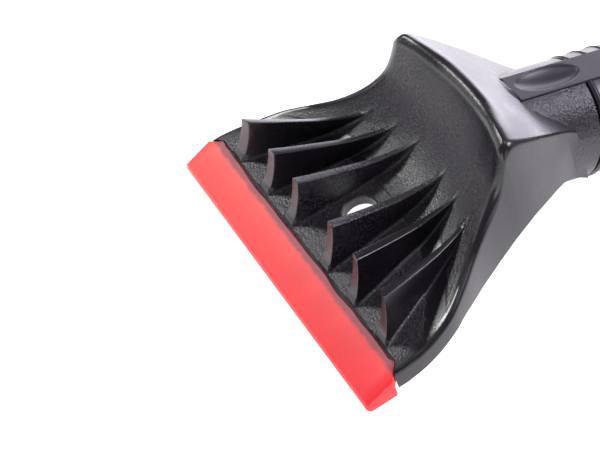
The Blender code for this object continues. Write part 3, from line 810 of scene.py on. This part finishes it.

# %% [markdown]
# ## Translucent red plastic
# The blade is tinted polycarbonate. Light goes in and scatters, so it glows rather than shades. Where the black
# tongue lies under the thin red skin, the colour turns dark and mottled. The red is also painted lighter at the
# -X end and deeper at the +X end, as painted shading along the blade.

# %% Tinted polycarbonate
def in_plate_frame(tree):
    """Object coordinates turned into the plate's frame."""
    place = add_node(tree, "ShaderNodeTexCoord").outputs["Object"]
    inverse = plate.inverted()
    mapping = add_node(tree, "ShaderNodeMapping", {"vector_type": "POINT"},
                       {"Vector": place, "Location": inverse.translation, "Rotation": inverse.to_euler()})
    return mapping.outputs["Vector"]


def tinted_red():
    made, tree = new_material("tinted_polycarbonate")
    spot = in_plate_frame(tree)
    parts = add_node(tree, "ShaderNodeSeparateXYZ", None, {"Vector": spot})
    mottle = add_node(tree, "ShaderNodeTexNoise", None,
                      {"Vector": spot, "Scale": per_mm(2.5), "Detail": 3.0, "Roughness": 0.6})
    cloud = add_node(tree, "ShaderNodeTexNoise", None,
                     {"Vector": spot, "Scale": per_mm(11.0), "Detail": 2.0, "Roughness": 0.5})
    sway = add_node(tree, "ShaderNodeMath", {"operation": "MULTIPLY_ADD"},
                    {0: mottle.outputs["Fac"], 1: 1.6 * MM, 2: parts.outputs["Y"]})
    over_tongue = add_node(tree, "ShaderNodeMapRange", {"interpolation_type": "SMOOTHSTEP"},
                           {"Value": sway.outputs[0], "From Min": 9.3 * MM, "From Max": 10.6 * MM})
    # Painted shading: the red is lighter at the -X end and deeper at the +X end.
    painted_shade_ramp = add_node(tree, "ShaderNodeMapRange", None,
                          {"Value": parts.outputs["X"], "From Min": -BLADE_HALF, "From Max": BLADE_HALF})
    body = add_node(tree, "ShaderNodeMix", {"data_type": "RGBA"},
                    {0: painted_shade_ramp.outputs["Result"], 6: linear("#fa4a42"), 7: linear("#f41824")})
    clouded = add_node(tree, "ShaderNodeMix", {"data_type": "RGBA", "blend_type": "MULTIPLY"},
                       {0: 0.18, 6: body.outputs[2], 7: cloud.outputs["Color"]})
    colour = add_node(tree, "ShaderNodeMix", {"data_type": "RGBA"},
                      {0: over_tongue.outputs["Result"], 6: clouded.outputs[2], 7: linear("#8a1c2c")})
    bump = add_node(tree, "ShaderNodeBump", None,
                    {"Height": mottle.outputs["Fac"], "Strength": 0.25, "Distance": 0.05 * MM})
    shade(tree, {"Base Color": colour.outputs[2], "Roughness": 0.5, "IOR": 1.58,
                 "Subsurface Weight": 0.3, "Subsurface Radius": (1.0, 0.18, 0.15),
                 "Subsurface Scale": 1.2 * MM, "Normal": bump.outputs["Normal"]})
    return made


blade.data.transform(plate)
finish(blade, "scraper_blade", tinted_red(), 40)

# %% [markdown]
# ## The smooth strip and its scoop
# A smooth strip is let into the top of the neck and the handle, and an oval scoop in it takes the thumb. The
# strip's face is a fine grid. Every vertex inside the oval is lowered, and a low rounded lip runs round it.

# %% Strip
SPINE_END = 125.5 * MM
SCOOP_X = -0.45 * MM
SCOOP_Y = -8.0 * MM
SCOOP_LENGTH = 9.6 * MM
SCOOP_WIDTH = 4.35 * MM
SCOOP_DEPTH = 1.75 * MM
LIP_HEIGHT = 0.15 * MM
LIP_WIDTH = 0.07


def strip_height(x, y):
    """Height of the strip's face, with the scoop and its lip."""
    out = math.hypot((x - SCOOP_X) / SCOOP_WIDTH, (y - SCOOP_Y) / SCOOP_LENGTH)
    dip = SCOOP_DEPTH * (1 - out * out) ** 0.8 if out < 1 else 0.0
    lip = LIP_HEIGHT * math.exp(-((out - 1.0) / LIP_WIDTH) ** 2)
    return min(SPINE_TOP - dip + lip, SPINE_TOP)


strip_rows = spread(SPINE_FRONT, 3 * MM, 0.22 * MM) + spread(3 * MM, SPINE_END, 4 * MM) + [SPINE_END]
strip_sheet = [[(x, y, strip_height(x, y)) for x in [SPINE_HALF * k / 22 for k in range(-22, 23)]]
               for y in strip_rows]
strip_block = block(strip_sheet, lambda y: SPINE_TOP - SPINE_THICK)
strip_piece = as_object("thumb_strip", in_frame(soften(strip_block, 0.2 * MM, 60, 2), handle))
smooth_abs = moulded_black("gloss_moulded_abs", "#221d28", "#29232f", 0.42, 1.6, 0.01)
finish(strip_piece, "top_spine", smooth_abs, 40)

# %% [markdown]
# ## The ringed grip
# The grip is a sleeve with low rounded rings every 5.35 mm. One half-profile with all of its rings is spun
# round the handle's axis, then the strip's slot is cut along the top.

# %% Grip
GRIP_LOW = 0.5 * MM
GRIP_HIGH = 125.5 * MM
RING_PITCH = 5.35 * MM
RING_FIRST = 1.0 * MM
RING_HEIGHT = 0.4 * MM
RING_HALF = 0.8 * MM
RING_COUNT = 23


def grip_outline():
    outline = [(NECK_RADIUS - 0.3 * MM, GRIP_LOW)]
    for k in range(RING_COUNT):
        middle = RING_FIRST + 0.4 * MM + RING_PITCH * k
        for step in range(-4, 5):
            rise = math.cos(math.pi / 2 * step / 4) ** 2
            outline.append((NECK_RADIUS + RING_HEIGHT * rise, middle + RING_HALF * step / 4))
    outline += [(NECK_RADIUS, GRIP_HIGH - 0.3 * MM), (NECK_RADIUS - 0.3 * MM, GRIP_HIGH)]
    return outline + [(SOCKET_RADIUS, GRIP_HIGH), (SOCKET_RADIUS, GRIP_LOW)]


grip = as_object("ringed_grip", turned(grip_outline(), 96))
grip_slot = brick((-SPINE_HALF - GAP, -5 * MM, SPINE_TOP - SPINE_THICK - GAP),
                  (SPINE_HALF + GAP, GRIP_HIGH + 5 * MM, 25 * MM))
carve(grip, [("DIFFERENCE", grip_slot), ("DIFFERENCE", screw_space(CAP_SCREW_Y))])
grip.data.transform(handle)
grip_black = moulded_black("satin_moulded_polypropylene", "#1a171c", "#2a262d", 0.36, 0.8, 0.03)
finish(grip, "grip_sleeve", grip_black, 40)

# %% [markdown]
# ## End cap
# The cap closes the handle: a spigot inside the core, a round flange, and a flat tab with a hole to hang the
# scraper from.

# %% Cap
CAP_RADIUS = 16.6 * MM
CAP_LENGTH = 6.0 * MM
CAP_ROUND = 2.0 * MM
CAP_SPIGOT = 14.0 * MM
CORE_WALL = 2.2 * MM
TAB_HALF = 11.0 * MM
TAB_THICK_HALF = 4.0 * MM
TAB_REACH = 10.0 * MM
HANG_RADIUS = 4.5 * MM

cap_low = GRIP_HIGH + GAP
cap_high = cap_low + CAP_LENGTH
spigot = SOCKET_RADIUS - 2 * GAP - CORE_WALL
cap_outline = [(0, cap_low - CAP_SPIGOT), (spigot, cap_low - CAP_SPIGOT), (spigot, cap_low),
               (CAP_RADIUS - 0.4 * MM, cap_low), (CAP_RADIUS, cap_low + 0.4 * MM)]
for k in range(7):
    angle = math.pi / 2 * k / 6
    cap_outline.append((CAP_RADIUS - CAP_ROUND * (1 - math.cos(angle)),
                        cap_high - CAP_ROUND * (1 - math.sin(angle))))
cap = as_object("hang_cap", turned(cap_outline + [(0, cap_high)], 96))
eye = cap_high + TAB_REACH - TAB_HALF + 4 * MM
tab_outline = [(cap_high - 3 * MM, -TAB_HALF)]
for k in range(49):
    angle = math.pi * (k / 48 - 0.5)
    tab_outline.append((eye + TAB_HALF * math.cos(angle), TAB_HALF * math.sin(angle)))
tab_outline.append((cap_high - 3 * MM, TAB_HALF))
tab = soften(prism(tab_outline, -TAB_THICK_HALF, TAB_THICK_HALF), 0.8 * MM, 40)
in_frame(tab, Matrix.Rotation(math.pi / 2, 4, "Y"))
hang_rim = ((0, -10 * MM), (HANG_RADIUS + 4 * MM, -10 * MM), (HANG_RADIUS + 0.7 * MM, -TAB_THICK_HALF),
            (HANG_RADIUS, 0.7 * MM - TAB_THICK_HALF), (HANG_RADIUS, TAB_THICK_HALF - 0.7 * MM),
            (HANG_RADIUS + 0.7 * MM, TAB_THICK_HALF), (HANG_RADIUS + 4 * MM, 10 * MM), (0, 10 * MM))
hang = in_frame(turned(hang_rim, 64), Matrix.Translation((0, eye + 1.5 * MM, 0)) @ UPRIGHT)
carve(cap, [("DIFFERENCE", screw_space(CAP_SCREW_Y)), ("UNION", tab), ("DIFFERENCE", hang)])
cap.data.transform(handle)
finish(cap, "end_cap", grip_black, 30)

# %% [markdown]
# ## Screws and core
# The screws are zinc-plated steel with a cross recess. The core is hidden inside, so the CAD's own tube stays
# and only takes a finish.

# %% Screws and core
def zinc_steel():
    made, tree = new_material("zinc_plated_steel")
    place = add_node(tree, "ShaderNodeTexCoord").outputs["Object"]
    wear = add_node(tree, "ShaderNodeTexNoise", None,
                    {"Vector": place, "Scale": per_mm(0.8), "Detail": 4.0, "Roughness": 0.6})
    dull = add_node(tree, "ShaderNodeMapRange", None,
                    {"Value": wear.outputs["Fac"], "To Min": 0.2, "To Max": 0.42})
    colours = add_node(tree, "ShaderNodeMix", {"data_type": "RGBA"},
                       {0: wear.outputs["Fac"], 6: linear("#b4b7bd"), 7: linear("#d2d4d8")})
    shade(tree, {"Base Color": colours.outputs[2], "Metallic": 1.0, "Roughness": dull.outputs["Result"]})
    return made


steel = zinc_steel()
RECESS_ARM = 1.7 * MM
RECESS_HALF = 0.4 * MM
for node, y in (("head_screw", HEAD_SCREW_Y), ("cap_screw", CAP_SCREW_Y)):
    body = soften(turned(screw_outline(0, 0), 40), 0.25 * MM, 60)
    screw = as_object("zinc_" + node, in_frame(body, Matrix.Translation((0, y, 0)) @ UPRIGHT))
    low, high = -NECK_RADIUS - MM, RECESS_ARM - NECK_RADIUS
    arms = [brick((-a, y - b, low), (a, y + b, high))
            for a, b in ((RECESS_ARM, RECESS_HALF), (RECESS_HALF, RECESS_ARM))]
    carve(screw, [("DIFFERENCE", arm) for arm in arms])
    screw.data.transform(handle)
    finish(screw, node, steel, 30)

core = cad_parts["handle_core"]
core_grey = moulded_black("plain_moulded_polypropylene", "#5a5a5c", "#636365", 0.45, 0.8, 0.01)
core.data.materials.clear()
core.data.materials.append(core_grey)
print("core keeps its CAD mesh")

# %% [markdown]
# ## Table and light
# The table is a white sheet that runs out of view on every side and glows, as a light table does, so the
# scraper has no shadow and the plate's hole shows white. Seven soft lights stand round it: a low one behind
# draws the bright slope on the back of the head, and one to the left shines along the dish.

# %% Table
TABLE_GLOW = 0.95                                # the sheet is lit from below, as on a light table


def paper_white():
    made, tree = new_material("white_studio_paper")
    place = add_node(tree, "ShaderNodeTexCoord").outputs["Object"]
    fibre = add_node(tree, "ShaderNodeTexNoise", None,
                     {"Vector": place, "Scale": per_mm(40.0), "Detail": 2.0, "Roughness": 0.5})
    colours = add_node(tree, "ShaderNodeMix", {"data_type": "RGBA"},
                       {0: fibre.outputs["Fac"], 6: linear("#f7f7f7"), 7: linear("#fbfbfb")})
    shade(tree, {"Base Color": colours.outputs[2], "Roughness": 0.9, "Specular IOR Level": 0.1,
                 "Emission Color": colours.outputs[2], "Emission Strength": TABLE_GLOW})
    return made


sheet_bm = bmesh.new()
bmesh.ops.create_grid(sheet_bm, x_segments=8, y_segments=8, size=3.0)
table = as_object("studio_table", sheet_bm)
table.data.transform(Matrix.Translation((0, 0, -0.0002)))
table.data.materials.append(paper_white())
print("table: 6 m square")

# %% Lights
def soft_light(name, towards_light, distance, size, power, colour="#ffffff"):
    """Square area light at a distance in a direction from the head, facing the head."""
    lamp = bpy.data.lights.new(name, "AREA")
    lamp.shape = "SQUARE"
    lamp.size = size
    lamp.energy = power
    lamp.color = linear(colour)[:3]
    holder = bpy.data.objects.new(name, lamp)
    aim = Vector(towards_light).normalized()
    centre = plate @ Vector((0, 45 * MM, 5 * MM))
    holder.location = centre + aim * distance
    holder.rotation_euler = aim.to_track_quat("Z", "Y").to_euler()
    bpy.context.scene.collection.objects.link(holder)
    return holder


LAVENDER = "#f4eeff"                             # the cool tint of a studio lamp
soft_light("top_softbox", (-0.1, 0.15, 1.0), 0.9, 0.3, 1.3, LAVENDER)
soft_light("rear_softbox", (-0.8, 0.8, 0.1), 0.6, 0.45, 4.0, LAVENDER)
soft_light("front_softbox", (0.55, -1.0, 0.12), 0.9, 0.4, 2.6, LAVENDER)
soft_light("left_softbox", (-0.66, -0.36, 0.66), 0.9, 0.16, 4.2)
soft_light("low_left_softbox", (-0.66, -0.70, 0.28), 0.9, 0.2, 0.7, LAVENDER)
soft_light("right_softbox", (1.0, 0.1, 0.3), 0.9, 0.3, 1.0, LAVENDER)
soft_light("rear_top_softbox", (0.24, 0.66, 0.7), 0.9, 0.22, 6.0, LAVENDER)

SURROUND = 0.2                                   # a dim white room, so that the dish stays dark
world = bpy.data.worlds.new("white_surround")
world.use_nodes = True
world.node_tree.nodes["Background"].inputs["Color"].default_value = linear("#ffffff")
world.node_tree.nodes["Background"].inputs["Strength"].default_value = SURROUND
bpy.context.scene.world = world
bpy.context.scene.view_settings.view_transform = "Standard"
print("seven soft lights and a white surround")
